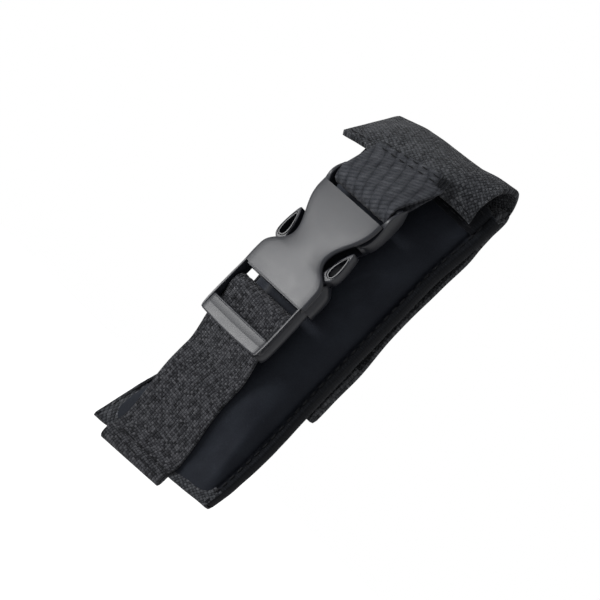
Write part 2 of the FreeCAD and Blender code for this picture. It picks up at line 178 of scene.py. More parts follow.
def evenLine(points, count):
    # a smooth line through the points, as count + 1 evenly spaced points
    last = len(points) - 1
    lengths = [max((points[i + 1] - points[i]).length, 1e-9) for i in range(last)]
    slopes = []
    for i in range(last + 1):
        low, high = max(i - 1, 0), min(i + 1, last)
        slopes.append((points[high] - points[low]) / sum(lengths[low:high]))
    fine = [points[0]]
    for i in range(last):
        third = lengths[i] / 3
        fine += interpolate_bezier(points[i], points[i] + slopes[i] * third,
                                   points[i + 1] - slopes[i + 1] * third, points[i + 1], 9)[1:]
    run = [0.0]
    for before, after in zip(fine, fine[1:]):
        run.append(run[-1] + (after - before).length)
    line, k = [], 0
    for i in range(count + 1):
        target = run[-1] * i / count
        while k < len(fine) - 2 and run[k + 1] < target:
            k += 1
        share = (target - run[k]) / max(run[k + 1] - run[k], 1e-9)
        line.append(fine[k].lerp(fine[k + 1], min(1.0, max(0.0, share))))
    return line


def layGrid(name, table):
    # a grid with its points where the table says, one row after another; its UV map is in
    # millimetres, across and along
    rows, columns = len(table) - 1, len(table[0]) - 1
    piece = addShape("grid", name, x_subdivisions=columns, y_subdivisions=rows, size=2)
    mesh = piece.data
    places = [(round((v.co.y + 1) / 2 * rows), round((v.co.x + 1) / 2 * columns))
              for v in mesh.vertices]
    middleRow, middleColumn = table[rows // 2], columns // 2
    along, across = [0.0], [0.0]
    for r in range(rows):
        step = table[r + 1][middleColumn] - table[r][middleColumn]
        along.append(along[-1] + step.length / mm)
    for c in range(columns):
        across.append(across[-1] + (middleRow[c + 1] - middleRow[c]).length / mm)
    for v, (r, c) in zip(mesh.vertices, places):
        v.co = table[r][c]
    uv = mesh.uv_layers.active.data
    for loop in mesh.loops:
        r, c = places[loop.vertex_index]
        uv[loop.index].uv = (across[c], along[r])
    return piece


def netSheet(name, net, columns, rows):
    # a smooth sheet through a net of points; each row of the net runs from left to right as
    # seen from outside, and the rows follow each other upwards
    wide = [evenLine(row, columns) for row in net]
    lines = [evenLine(list(line), rows) for line in zip(*wide)]
    return layGrid(name, list(zip(*lines)))


def loft(name, rings):
    # a closed solid through rings that run anticlockwise as seen from above
    merge = 0.000001
    piece = layGrid(name, [list(ring) + [ring[0]] for ring in rings])
    editAll(piece, remove_doubles={"threshold": merge}, fill_holes={"sides": 0})
    mend(piece, merge)
    return piece


def smoothRings(rings, count):
    # fills in rings between those given, so that a loft runs smoothly through them
    return list(zip(*[evenLine(list(line), count) for line in zip(*rings)]))


def block(name, low, high):
    piece = addShape("cube", name, size=1)
    middle, size = (low + high) / 2, high - low
    for v in piece.data.vertices:
        v.co = Vector([m + c * s for m, c, s in zip(middle, v.co, size)])
    return piece


def plate(name, outline, push):
    # a plate with this outline, extruded by push millimetres
    piece = addShape("circle", name, vertices=len(outline), radius=1, fill_type="NGON")
    for v, point in zip(piece.data.vertices, outline):
        v.co = point
    way = tuple(length * mm for length in push)
    editAll(piece, extrude_region_move={"TRANSFORM_OT_translate": {"value": way}})
    mend(piece)
    return piece


def crossBar(name, profile, left, right):
    # a bar across the buckle with this profile of (y, height) points
    return plate(name, [at(left, y, height) for y, height in profile], (right - left, 0, 0))


def circleProfile(height, radius, count=28):
    # a round profile about the buckle's middle
    points = [circlePoint(radius, 360 * i / count) for i in range(count)]
    return [(buckleMiddle + y, height + rise) for y, rise in points]


def thicken(piece, thick, offset=0.0, ribs=0):
    # gives a sheet its thickness and rounds its cut edges; offset -1 puts it all behind
    valley = 0.75                               # a rib's valley, as a share of the thickness
    edge = 0.25
    extra = {}
    if ribs:
        group = piece.vertex_groups.new(name="ribs")
        uv = piece.data.uv_layers.active.data
        wide = max(item.uv.x for item in uv)
        for loop in piece.data.loops:
            turn = 2 * math.pi * ribs * uv[loop.index].uv.x / wide
            group.add([loop.vertex_index], 0.5 - 0.5 * math.cos(turn), "REPLACE")
        extra = {"vertex_group": "ribs", "thickness_vertex_group": valley}
    modify(piece, "SOLIDIFY", thickness=thick * mm, offset=offset, use_even_offset=True,
           use_quality_normals=True, **extra)
    modify(piece, "BEVEL", width=edge * mm, segments=2, limit_method="ANGLE",
           angle_limit=math.radians(60))


def ruffle(piece, amount, size):
    # moves every point a little, as handled cloth never lies quite flat
    for v in piece.data.vertices:
        v.co += noise.noise_vector(v.co / (size * mm)) * amount * mm


def dress(piece, material, slotName, body, *nodes, angle=40):
    # the material, the record's slot (not used), the body and the CAD nodes that this piece stands for
    piece.data.materials.clear()
    piece.data.materials.append(material)
    pick(piece)
    bpy.ops.object.shade_smooth_by_angle(angle=math.radians(angle))
    if body:
        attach(piece, body)
    if nodes:
        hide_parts(*nodes)
    return piece


# materials
def colour(hexText):
    parts = [int(hexText[i:i + 2], 16) / 255 for i in (0, 2, 4)]
    linear = (p / 12.92 if p <= 0.04045 else ((p + 0.055) / 1.055) ** 2.4 for p in parts)
    return (*linear, 1.0)


def setInputs(node, **inputs):
    # an input is a value, a socket or a node whose first output is used, and is named as on
    # the node, or in0, in1 and so on by its place
    for name, value in inputs.items():
        socket = node.inputs[int(name[2:]) if name[2:].isdigit() else name.replace("_", " ")]
        if isinstance(value, bpy.types.Node):
            value = value.outputs[0]
        if isinstance(value, bpy.types.NodeSocket):
            node.id_data.links.new(value, socket)
        else:
            socket.default_value = value


def addNode(tree, kind, settings=None, **inputs):
    # adds a node; a second word in its kind is its operation, and stops are a ramp's colours
    kind, _, operation = kind.partition(" ")
    node = tree.nodes.new("ShaderNode" + kind)
    if operation:
        node.operation = operation
    for name, value in (settings or {}).items():
        if name == "stops":
            elements = node.color_ramp.elements
            elements[0].position, elements[1].position = value[0][0], value[-1][0]
            elements[0].color, elements[1].color = colour(value[0][1]), colour(value[-1][1])
            for place, hexText in value[1:-1]:
                elements.new(place).color = colour(hexText)
        else:
            setattr(node, name, value)
    setInputs(node, **inputs)
    return node


def newMaterial(name, **settings):
    # the material, what adds a node to it and its shader
    material = bpy.data.materials.new(name)
    material.use_nodes = True
    shader = material.node_tree.nodes["Principled BSDF"]
    setInputs(shader, **settings)
    return material, partial(addNode, material.node_tree), shader


def wovenNylon(name, look):
    # Nylon webbing, woven from thick yarns and dyed black. Its colour follows the weave's relief: a painted
    # highlight on the crowns of the yarns and painted shade in the gaps and on the sunk yarns; loose fibres
    # blur the weave.
    material, add, shader = newMaterial(name, Roughness=look["roughness"], Sheen_Weight=look["sheen"],
                                        Sheen_Roughness=0.45, Specular_IOR_Level=0.12)
    place = add("UVMap").outputs["UV"]
    drift = add("TexNoise", Vector=place, Scale=look["driftScale"], Detail=2.0)
    drift = add("VectorMath SCALE", in0=drift.outputs["Color"], Scale=look["drift"])
    place = add("VectorMath ADD", in0=place, in1=drift)
    cells = add("Mapping", {"vector_type": "TEXTURE"}, Vector=place,
                Rotation=(0, 0, look["slant"]), Scale=(look["yarnAcross"], look["yarnAlong"], 1))
    axes = add("SeparateXYZ", Vector=cells)
    crowns = []
    for axis in ("X", "Y"):
        turn = add("Math MULTIPLY", in0=axes.outputs[axis], in1=math.pi)
        wave = add("Math SINE", in0=turn)
        crowns.append(add("Math ABSOLUTE", in0=wave))
    over = add("TexChecker", Vector=cells, Scale=1.0).outputs["Fac"]
    both = add("Math MULTIPLY", in0=crowns[0], in1=crowns[1])
    both = add("Math POWER", in0=both, in1=look["round"])
    cell = add("VectorMath FLOOR", in0=cells)
    cell = add("TexWhiteNoise", {"noise_dimensions": "2D"}, Vector=cell).outputs["Value"]
    under = add("Math MULTIPLY", in0=both, in1=look["under"])
    weave = add("Mix", in0=over, in2=both, in3=under)
    fibres = add("TexNoise", Vector=place, Scale=look["fibre"], Detail=4.0, Roughness=0.65)
    worn = add("TexNoise", Vector=place, Scale=0.15, Detail=3.0)
    height = add("Math MULTIPLY_ADD", in0=fibres, in1=look["fuzz"], in2=weave)
    wear = 0.5
    tone = add("Math MULTIPLY_ADD", in0=worn, in1=wear, in2=height)
    tone = add("Math MULTIPLY_ADD", in0=cell, in1=look["stray"], in2=tone)
    brightest = 1.0 + look["fuzz"] + wear + look["stray"]
    tone = add("Math DIVIDE", in0=tone, in1=brightest)
    # the tint is partly painted light: lighter where the weave stands high and darker in its gaps and on sunk
    # yarns, over the webbing's own wear, fibres and stray yarn tone
    tint = add("ValToRGB", {"stops": look["stops"]}, Fac=tone)
    bump = add("Bump", Height=height, Strength=look["bump"], Distance=look["relief"] * mm)
    setInputs(shader, Base_Color=tint, Normal=bump)
    return material


webbing = {"driftScale": 0.7, "under": 0.7, "round": 0.42, "bump": 1.0, "roughness": 0.85, "sheen": 0.1}
# 1 inch strap webbing: yarns about 1 mm wide, some sunk and some raised
strapNylon = wovenNylon("wovenNylonStrap", webbing | {
    "yarnAcross": 0.95, "yarnAlong": 0.85, "slant": -0.12, "drift": 0.45, "stray": 1.0, "fibre": 2.6,
    "fuzz": 1.2, "relief": 0.35, "roughness": 0.8, "sheen": 0.08,
    "stops": [(0.3, "060709"), (0.45, "2c2d31"), (0.6, "4a4b4f"), (0.78, "5f5f63")]})
# the same webbing where it is pulled tight over the flap, as a second, lit copy: its colour paints in the
# slanting ribs and lighter darks that the light brings out there
ribLitStrapNylon = wovenNylon("wovenNylonStrapRibLit", webbing | {
    "yarnAcross": 1.25, "yarnAlong": 3.4, "slant": -1.12, "drift": 0.35, "driftScale": 0.6,
    "under": 0.85, "stray": 0.4, "fibre": 2.4, "fuzz": 1.1, "bump": 0.9, "relief": 0.3, "roughness": 0.8,
    "stops": [(0.24, "15171b"), (0.45, "35373c"), (0.65, "484a4f"), (0.85, "64656a")]})
# 2 inch webbing of the flap and back: a flatter weave with many fibres astray
wideNylon = wovenNylon("wovenNylonWide", webbing | {
    "yarnAcross": 0.95, "yarnAlong": 1.05, "slant": -0.5, "drift": 0.5, "stray": 0.7, "fibre": 2.2,
    "fuzz": 1.1, "relief": 0.4,
    "stops": [(0.3, "08090c"), (0.45, "303236"), (0.6, "4c4e52"), (0.78, "636468")]})
# grosgrain tape, as on the hem and the edges: fine ribs across it
tapeNylon = wovenNylon("nylonGrosgrainTape", webbing | {
    "yarnAcross": 3.0, "yarnAlong": 0.7, "slant": 0.0, "drift": 0.3, "driftScale": 0.6, "under": 0.8,
    "round": 0.8, "stray": 0.3, "fibre": 2.6, "fuzz": 0.6, "bump": 0.7, "relief": 0.15, "sheen": 0.02,
    "stops": [(0.2, "0a0b0e"), (0.55, "131519"), (0.9, "22252a")]})


def packCloth():
    # Coated polyester pack cloth, plain woven from fine yarns: almost flat black, with a cool
    # cast and a faint grain. The real grain of about 0.3 mm is drawn at 0.6 mm, so that it shows.
    material, add, shader = newMaterial("coatedPolyesterCloth", Roughness=0.7, Specular_IOR_Level=0.12)
    place = add("UVMap").outputs["UV"]
    grain = add("TexVoronoi", {"distance": "CHEBYCHEV"}, Vector=place, Scale=1 / 0.6, Randomness=0.5)
    cloud = add("TexNoise", Vector=place, Scale=0.08, Detail=4.0)
    tone = add("Math MULTIPLY_ADD", in0=grain, in1=0.35, in2=cloud)
    stops = [(0.35, "13161d"), (0.6, "1b1e25"), (0.85, "21252c")]
    tint = add("ValToRGB", {"stops": stops}, Fac=tone)
    crease = add("TexNoise", Vector=place, Scale=0.12, Detail=2.0)
    relief = add("Math MULTIPLY_ADD", in0=crease, in1=5.0, in2=grain)
    bump = add("Bump", Height=relief, Strength=0.6, Distance=0.12 * mm)
    setInputs(shader, Base_Color=tint, Normal=bump)
    return material


def mouldedAcetal():
    # Black acetal, injection moulded in a finely spark eroded tool: a soft satin sheen that
    # greys under a wide lamp, with faint flow marks and handling scuffs.
    material, add, shader = newMaterial("mouldedAcetal", IOR=1.48, Specular_IOR_Level=0.38)
    place = add("TexCoord").outputs["Object"]
    place = add("Mapping", Vector=place, Scale=(1000, 1000, 1000))
    grit = add("TexNoise", Vector=place, Scale=3.0, Detail=3.0)
    scuff = add("TexNoise", Vector=place, Scale=0.22, Detail=5.0, Roughness=0.6)
    tint = add("ValToRGB", {"stops": [(0.3, "191b21"), (0.7, "202229")]}, Fac=scuff)
    rough = add("MapRange", Value=scuff, in3=0.33, in4=0.42)
    bump = add("Bump", Height=grit, Strength=0.25, Distance=0.02 * mm)
    setInputs(shader, Base_Color=tint, Roughness=rough, Normal=bump)
    return material


def bondedThread():
    # Bonded nylon thread: twisted plies with a waxy glint.
    material, add, shader = newMaterial("bondedNylonThread", Roughness=0.6, Specular_IOR_Level=0.15)
    place = add("TexCoord").outputs["Object"]
    plies = add("TexWave", {"bands_direction": "DIAGONAL"}, Vector=place, Scale=700.0)
    plies = plies.outputs["Fac"]
    tint = add("ValToRGB", {"stops": [(0.2, "08090b"), (0.8, "15171b")]}, Fac=plies)
    bump = add("Bump", Height=plies, Strength=0.6, Distance=0.08 * mm)
    setInputs(shader, Base_Color=tint, Normal=bump)
    return material


def touchTape(name, stops, roughness):
    # Touch tape: brushed nylon loops on one half, stiff cut hooks on the other.
    material, add, shader = newMaterial(name, Roughness=roughness, Sheen_Weight=0.15)
    place = add("TexCoord").outputs["Object"]
    pile = add("TexNoise", Vector=place, Scale=1400.0, Detail=5.0, Roughness=0.7)
    tint = add("ValToRGB", {"stops": stops}, Fac=pile)
    bump = add("Bump", Height=pile, Strength=0.9, Distance=0.4 * mm)
    setInputs(shader, Base_Color=tint, Normal=bump)
    return material


clothMaterial = packCloth()
acetal = mouldedAcetal()
thread = bondedThread()
loopPile = touchTape("brushedNylonLoop", [(0.3, "0d0e10"), (0.7, "26282c")], 0.95)
hookPile = touchTape("mouldedNylonHook", [(0.3, "101114"), (0.7, "1f2125")], 0.45)
print("materials made")

# the pouch: every layer is set out across the back and forward of its outer face
pouch = {
    "bottomTwist": 8.0,        # turn of the bottom seam about the pouch's length, degrees
    "bottomLift": 5.5,         # the bottom seam stands this far forward of the back
    "liftHeight": 30.0,
    "bellyHeight": 46.0,
    "mouthDepth": 14.0,
    "seam": 2.0,               # cloth that lies flat on the back at each side
    "seamRise": 0.3,
    # how far the left edge draws in and curls back, at which height and over what reach
    "draw": [(1.2, 20, 60), (1.5, 34, 20), (3.4, 63, 14)],
    "curl": [(4.4, 32, 12)],
    "drawFades": (78, 104),    # between these heights
    "corner": 0.6,             # how far the right bottom corner draws in
    "cornerTop": 9,
    "swell": [(0.5, 28, 12)],  # how far the right edge swells out
    "seamTilt": 2.1,           # the bottom seam runs up to the right by this much at its end
    "tiltTop": 16,
    "flare": 2.4,              # the mouth's right edge stands out
    "flareHeights": (98, 124),
    "roundness": 0.75,         # below 1 the belly is fuller than an ellipse
    # above this height the mouth gives way, by a share that grows to the right
    "giveHeight": 85, "give": 0.24, "giveGrows": 0.2 / 12.7,
    "sag": (0.6, 50, 32),      # the left half hangs slack
    "crease": (1.0, 20, 14, 21.0, 1.6),      # beside the strap: size, height, across
    "hollow": (1.1, 16, 12, 13.5, 3.5),
}
deepest = -frontLow.y
clothBase = webThick + clothThick


def place(across, forward, height):
    share = max(0.0, 1.0 - max(0.0, height) / pouch["liftHeight"]) ** 2
    turn = math.radians(pouch["bottomTwist"] * share)
    edge = across / halfWidth
    if across < 0:
        faded = 1 - ease(*pouch["drawFades"], height)
        across += bulge(pouch["draw"], height) * faded * edge ** 2
        forward -= bulge(pouch["curl"], height) * edge ** 4
    else:
        moved = bulge(pouch["swell"], height) + pouch["flare"] * ease(*pouch["flareHeights"], height)
        across += (moved - pouch["corner"] * (1 - ease(0, pouch["cornerTop"], height))) * edge ** 3
    height += pouch["seamTilt"] * edge * (1 - ease(0, pouch["tiltTop"], height))
    x = across * math.cos(turn) + forward * math.sin(turn)
    y = across * math.sin(turn) - forward * math.cos(turn) - pouch["bottomLift"] * share
    return at(x, y, height)


def clothDepth(height):
    flat = clothBase + pouch["seamRise"]
    rise = math.sin(math.pi / 2 * min(1.0, max(0.0, height) / pouch["bellyHeight"]))
    high = max(0.0, height - pouch["bellyHeight"]) / (mouthTop - pouch["bellyHeight"])
    return flat + (deepest - flat) * rise - (deepest - pouch["mouthDepth"]) * high ** 2


def clothRow(height, grow=0.0, flange=True, count=40, level=None):
    # the cloth's outside at one height, from left to right, moved out by grow
    level = height if level is None else level
    half, base = halfWidth - pouch["seam"] + grow, clothBase + grow
    rise = clothDepth(level) + grow - base
    row = []
    for i in range(count + 1):
        turn = math.pi * (1 - i / count)
        across = half * math.cos(turn)
        slack = ease(pouch["giveHeight"], mouthTop, level)
        slack *= max(0.0, pouch["give"] + pouch["giveGrows"] * across)
        sag = bulge([pouch["sag"]], level) * ease(4, 16, -across)
        crease, hollow = [much * hump(high, tall, level) * hump(aside, wide, across)
                          for much, high, tall, aside, wide in (pouch["crease"], pouch["hollow"])]
        forward = base + rise * math.sin(turn) ** pouch["roundness"] * (1 - slack) * (1 - sag)
        row.append((across, max(base, forward + (crease - hollow) * min(1.0, rise / 5))))
    if flange:
        row = [(-halfWidth - grow, base)] + row + [(halfWidth + grow, base)]
    return [place(a, f, height) for a, f in row]


front = {"columns": 72, "rows": 110, "wrinkle": 0.22, "wrinkleSize": 13.0}
clothHeights = [0, 3, 6, 10, 15, 20, 25, 30, 38, 46, 56, 66, 78, 90, 102, 112, 120, mouthTop]
clothFront = netSheet("clothFront", [clothRow(h) for h in clothHeights], front["columns"], front["rows"])
ruffle(clothFront, front["wrinkle"], front["wrinkleSize"])
thicken(clothFront, clothThick, -1)
dress(clothFront, clothMaterial, "pouch_cloth", "pouch", "front_panel")

# hem tape round the mouth, over the edge and down inside
band = {"grow": 0.86, "inside": 5.0, "columns": 60, "rows": 26}
bandRows = [(bandBottom, band["grow"]), (mouthTop - 4, band["grow"]), (mouthTop - 0.2, band["grow"]),
            (mouthTop + 0.7, 0.35), (mouthTop + 0.9, -0.5), (mouthTop + 0.7, -1.4),
            (mouthTop - 0.2, -1.9), (mouthTop - band["inside"], -1.9)]
bandNet = [clothRow(h, g, False, level=min(h, mouthTop)) for h, g in bandRows]
mouthBand = netSheet("mouthBand", bandNet, band["columns"], band["rows"])
thicken(mouthBand, tapeThick, -1)
dress(mouthBand, tapeNylon, "binding_tape", "pouch", "mouth_band")


# edge tape down both sides
binding = {
    "frontLeg": 1.8, "backLeg": 4.5, "round": 1.0,
    "heights": [0, 5, 10, 15, 20, 25, 30, 40, 52, 62, 72, 84, 100, 113, mouthTop - 0.5],
}


def edgeTape(side, word):
    out, front, back = halfWidth + skin + tapeThick, clothBase + skin + tapeThick, -skin - tapeThick
    bend, half = binding["round"], binding["round"] / 4
    path = [(out - binding["frontLeg"], front), (out - bend, front), (out - half, front - half),
            (out, front - bend), (out, back + bend), (out - half, back + half), (out - bend, back),
            (out - binding["backLeg"], back)]
    if side < 0:
        path = [(-a, f) for a, f in path[::-1]]
    net = [[place(a, f, h) for a, f in path] for h in binding["heights"]]
    tape = netSheet(word + "Binding", net, 14, 100)
    ruffle(tape, 0.12, 6)
    thicken(tape, tapeThick, -1)
    dress(tape, tapeNylon, "binding_tape", "pouch", word + "_binding")


for side, word in sides:
    edgeTape(side, word)

# webbing folded up over the bottom seam
hem = {
    "front": 6.6, "back": 4.0, "thick": 0.75, "proud": 0.6,
    "stations": (-18, -11, 0, 12),
    "rise": 1.5,               # its front edge climbs to the left
    "deep": (1.2, 1.4),        # how far it hangs below the seam, left and right
}
hemBack, hemFace = -skin - hem["thick"], clothBase + skin + hem["thick"]
hemPath = [(hem["back"], hemBack), (0.6, hemBack), (-0.75, 0.2), (-0.85, clothBase / 2),
           (-0.75, clothBase + 0.5), (0.6, hemFace), (hem["front"], hemFace)]
hemEnd = halfWidth + hem["proud"]
hemNet = []
for height, forward in hemPath:
    row = []
    for a in (-hemEnd, *hem["stations"], hemEnd):
        risen = height
        if height == hem["front"]:
            risen *= 1 + hem["rise"] * max(0, -a / halfWidth) ** 2
        below = min(height, 0) * hem["deep"][a > 0]
        row.append(place(a, forward, max(risen, 0)) + Vector((0, 0, below * mm)))
    hemNet.append(row)
bottomHem = netSheet("bottomHem", hemNet, 44, 20)
ruffle(bottomHem, 0.15, 4)
thicken(bottomHem, hem["thick"], -1)
dress(bottomHem, wideNylon, "flap_webbing", "pouch")
print("pouch front made")

# the back and the flap are one length of 2 inch webbing, folded over the top
flapStations = (-24.8, -12.7, 0.0, 12.9, 19.4, 24.6)
flapNet = [    # from the back over the fold to the hem: (y, height) at each station
    [(-1.0, 121.0), (-1.0, 121.0), (-1.0, 121.0), (-0.9, 121.0), (0.0, 121.0), (1.2, 121.0)],
    [(-0.7, 128.6), (-0.8, 128.6), (-0.8, 129.4), (0.4, 131.1), (3.0, 131.3), (6.0, 130.6)],
    [(-2.2, 131.1), (-3.4, 133.1), (-4.0, 133.7), (-3.2, 134.5), (-1.2, 136.1), (1.0, 136.8)],
    [(-8.7, 125.2), (-9.5, 130.5), (-10.0, 132.0), (-9.6, 132.8), (-8.2, 134.0), (-6.4, 134.2)],
    [(-15.0, 119.0), (-16.2, 123.4), (-16.4, 125.4), (-15.9, 126.6), (-12.6, 127.0), (-9.6, 126.2)],
    [(-20.0, 114.3), (-19.7, 115.8), (-19.6, 117.0), (-18.9, 118.8), (-13.4, 119.6), (-8.4, 119.3)],
]


def flapRow(index, columns):
    # evenly spaced points across the flap at one row of its net, from left to right
    return evenLine([at(x, y, h) for x, (y, h) in zip(flapStations, flapNet[index])], columns)


shell = {"columns": 56, "rows": 150}
backNet = [[place(a, webThick / 2, h) for a in (halfWidth, 12.5, 0, -12.5, -halfWidth)]
           for h in (0, 5, 10, 15, 20, 25, 30, 42, 52, 62, 72, 84, 100, 114)]
shellNet = backNet + [flapRow(i, 8)[::-1] for i in range(len(flapNet))]
webbingShell = netSheet("webbingShell", shellNet, shell["columns"], shell["rows"])
ruffle(webbingShell, 0.12, 5)
thicken(webbingShell, webThick, 0)
dress(webbingShell, wideNylon, "flap_webbing", None, "back_panel", "flap_panel")
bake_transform(webbingShell)

flapColumns = 200
flapHem, flapBend = flapRow(5, flapColumns), flapRow(4, flapColumns)


def flapOutside(across, share, out):
    # a point on the flap's outside, share of the way up from its hem to the bend above it
    step = (across - flapStations[0]) / (flapStations[-1] - flapStations[0])
    column = round(step * flapColumns)
    hemPoint, upper = flapHem[column], flapBend[column]
    beside = flapHem[min(flapColumns, column + 4)]
    outward = (upper - hemPoint).cross(beside - hemPoint).normalized() * -1
    return hemPoint.lerp(upper, share) + outward * (webThick / 2 + out) * mm


def roundBar(reach, height, turns, slack):
    # (y, height) points round a bar in the buckle's middle; slack draws them out below and above
    points = [circlePoint(reach, turn) for turn in turns]
    return [(buckleMiddle + y, height + rise * slack[rise > 0]) for y, rise in points]


# upper strap: sewn over the flap's hem outside, round the buckle's bar and back up inside
strap = {"columns": 60, "bar": 1.6, "barHeight": 106.2, "slack": 1.85, "ribs": 10}
barReach = strap["bar"] + skin + strapThick / 2
upperLines = []
for k in range(7):
    across = halfStrap * (k / 3 - 1)
    outer = strapThick / 2 + skin
    inner = -webThick - strapThick / 2 - skin
    lap = 0.34 + 0.3 * k / 6
    line = [flapOutside(across, lap, outer), flapOutside(across, lap / 2, outer),
            flapOutside(across, 0.0, outer)]
    bend = [at(across, y, height) for y, height in
            roundBar(barReach, strap["barHeight"], range(165, 376, 21), (strap["slack"], 1))]
    line.append(line[-1].lerp(bend[0], 0.5))
    line += bend
    last = flapOutside(across, 0.0, inner)
    line += [line[-1].lerp(last, 0.5), last, flapOutside(across, lap * 0.7, inner)]
    upperLines.append(line)
upperStrap = netSheet("upperStrap", [row[::-1] for row in zip(*upperLines)], strap["columns"], 60)
ruffle(upperStrap, 0.08, 4)
thicken(upperStrap, strapThick, 0, ribs=strap["ribs"])
# the upper strap wears the lit copy of the strap webbing, with painted light on its slanting ribs
dress(upperStrap, ribLitStrapNylon, "strap_webbing", "flap", "upper_strap")
print("flap and upper strap made")

# lower strap: sewn at the bottom seam, up behind the end bar, round the rung and back down
swing = next(j for j in frame["joints"] if j["name"] == "strap_swing")
anchorX, anchorY = swing["pos_m"][0] / mm, swing["pos_m"][1] / mm
lower = {
    "rung": 1.5, "slack": 1.4, "rungHeight": plugLow.z + 12.5, "rear": plugLow.y + 3.93,
    "split": 5.0, "tail": plugLow.z - 0.5, "sway": [(-1.2, 23, 10), (0.3, 41, 4)],
    "leave": (34.0, 47.0),     # between these heights it leaves the cloth
}


def strapRow(x, y, height, turn=0.0):
    reach = Vector((math.cos(math.radians(turn)), math.sin(math.radians(turn)), 0)) * halfStrap
    return [at(x - reach.x, y - reach.y, height), at(x + reach.x, y + reach.y, height)]


def strapRise(height):
    # the strap's middle on its way from the seam to the buckle
    share = min(1.0, max(0.0, (height - 2) / (plugLow.z - 2)))
    onCloth = min(anchorY, place(0, clothDepth(height) + strapThick / 2 + 0.5, height).y / mm)
    onCloth += (anchorY - onCloth) * (1 - ease(0, 8, height))
    y = onCloth + (lower["rear"] - onCloth) * ease(*lower["leave"], height)
    x = anchorX * (1 - share) + bulge(lower["sway"], height)
    return strapRow(x, y, height, pouch["bottomTwist"] * (1 - share))


runHeights = (lower["split"], 9, 14, 20, 26, 31, 35, 38, 41, plugLow.z, plugLow.z + 3)
rungReach = lower["rung"] + skin + strapThick / 2
runNet = [strapRise(height) for height in runHeights]
runNet.append(strapRow(0, lower["rear"], plugLow.z + 6.2))
runNet += [strapRow(0, y, height) for y, height in
           roundBar(rungReach, lower["rungHeight"], range(200, -21, -20), (1, lower["slack"]))]
tailY = buckleMiddle + rungReach + 0.2
runNet += [strapRow(0, tailY, lower["rungHeight"] - 5), strapRow(0, tailY, lower["tail"])]
strapRun = netSheet("strapRun", runNet, strap["columns"], 90)
thicken(strapRun, strapThick, 0, ribs=strap["ribs"])
dress(strapRun, strapNylon, "strap_webbing", None, "lower_strap")
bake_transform(strapRun)

anchor = {
    "aside": -1.6, "lean": 0.6, "drop": 0.7, "turn": pouch["bottomTwist"], "top": 3.4,
    # the folded end: back from the seam line, and up
    "path": [(1.65, -0.4), (1.65, -2.4), (1.45, -3.5), (0.8, -4.05), (0.1, -3.5), (-0.1, -2.2),
             (0.0, -0.6), (0.35, 0.5), (-0.1, 2.0)],
}
endPath = [(anchorY + y, height) for y, height in anchor["path"]]
endPath.append((sum(point.y for point in strapRise(anchor["top"])) / mm / 2, anchor["top"]))
endNet = []
for y, height in endPath:
    hang = 1 - ease(-1, anchor["top"], height)       # the end hangs askew, a little to the left
    lean = Vector((0, 0, anchor["lean"] * hang * mm))
    left, right = strapRow(anchorX + anchor["aside"] * hang, y, height - anchor["drop"] * hang,
                           anchor["turn"])
    endNet.append([left - lean, right + lean])
endNet.append(strapRise(lower["split"]))
strapEnd = netSheet("strapEnd", endNet, strap["columns"], 26)
thicken(strapEnd, strapThick)
dress(strapEnd, strapNylon, "strap_webbing", None, "strap_anchor")
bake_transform(strapEnd)
print("lower strap made")

# belt flap: sewn to the back near the top, with room for the belt, closed by touch tape
belt = {
    "half": beltHigh.x, "hem": 22.0, "fold": webThick / 2 + skin, "puff": 4.2,
    # its top end is turned under before it is sewn: back from the sewn layer, and up
    "turned": [(4.2, -4.0), (4.6, -1.0), (4.5, 1.6), (3.1, 3.0), (1.2, 2.1), (0.0, -0.2), (0.0, -4.0)],
}
sewnY, outY = (beltTopLow.y + beltTopHigh.y) / 2, beltHigh.y - webThick / 2
tapeY, fold = hookHigh.y + skin + webThick / 2, belt["fold"]
hemHeight, bendHeight = beltLow.z + belt["hem"], beltLow.z + webThick / 2 + fold
beltPath = [(tapeY, hemHeight), (tapeY, bendHeight + 8), (tapeY, bendHeight)]
for turn in (45, 90, 135):
    back, drop = circlePoint(fold, turn)
    beltPath.append((tapeY + fold - back, bendHeight - drop))
beltPath += [(tapeY + 2 * fold, bendHeight), (tapeY + 2 * fold, bendHeight + 8), (outY + 0.3, hemHeight),
             (outY - 1.7, (beltLow.z + beltTopLow.z) / 2), (outY - 0.6, beltTopLow.z - 14),
             (outY + 0.3, beltTopLow.z - 4), (sewnY + 4.5, beltTopLow.z + 2),
             (sewnY + belt["puff"], beltTopLow.z + 6)]
beltPath += [(sewnY + y, beltTopHigh.z + h) for y, h in belt["turned"]]
beltPath += [(sewnY, beltTopLow.z + 4), (sewnY, beltTopLow.z + 1)]
beltNet = [[at(belt["half"], y, h), at(-belt["half"], y, h)] for y, h in beltPath]
beltWebbing = netSheet("beltWebbing", beltNet, 50, 130)
ruffle(beltWebbing, 0.08, 9)
thicken(beltWebbing, webThick, 0)
dress(beltWebbing, wideNylon, "flap_webbing", None, "belt_anchor", "belt_flap")
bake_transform(beltWebbing)


def tapePad(name, outward, material, body, node):
    # one half of the touch tape, as a sheet on its backing
    pile, pitch = 0.25, 0.9
    low, high = boxMm(node)
    y = high.y if outward > 0 else low.y
    left, right = (high.x, low.x) if outward > 0 else (low.x, high.x)
    pad = netSheet(name, [[at(left, y, h), at(right, y, h)] for h in (low.z, high.z)], 76, 40)
    for v in pad.data.vertices:
        v.co.y += outward * pile * mm * (noise.noise(v.co / (pitch * mm)) - 0.7)
    thicken(pad, high.y - low.y - 2 * pile, -1)
    dress(pad, material, "touch_tape", body, node)


tapePad("loopTape", 1, loopPile, "pouch", "loop_tape")
tapePad("hookTape", -1, hookPile, "belt_flap", "hook_tape")
print("belt flap made")

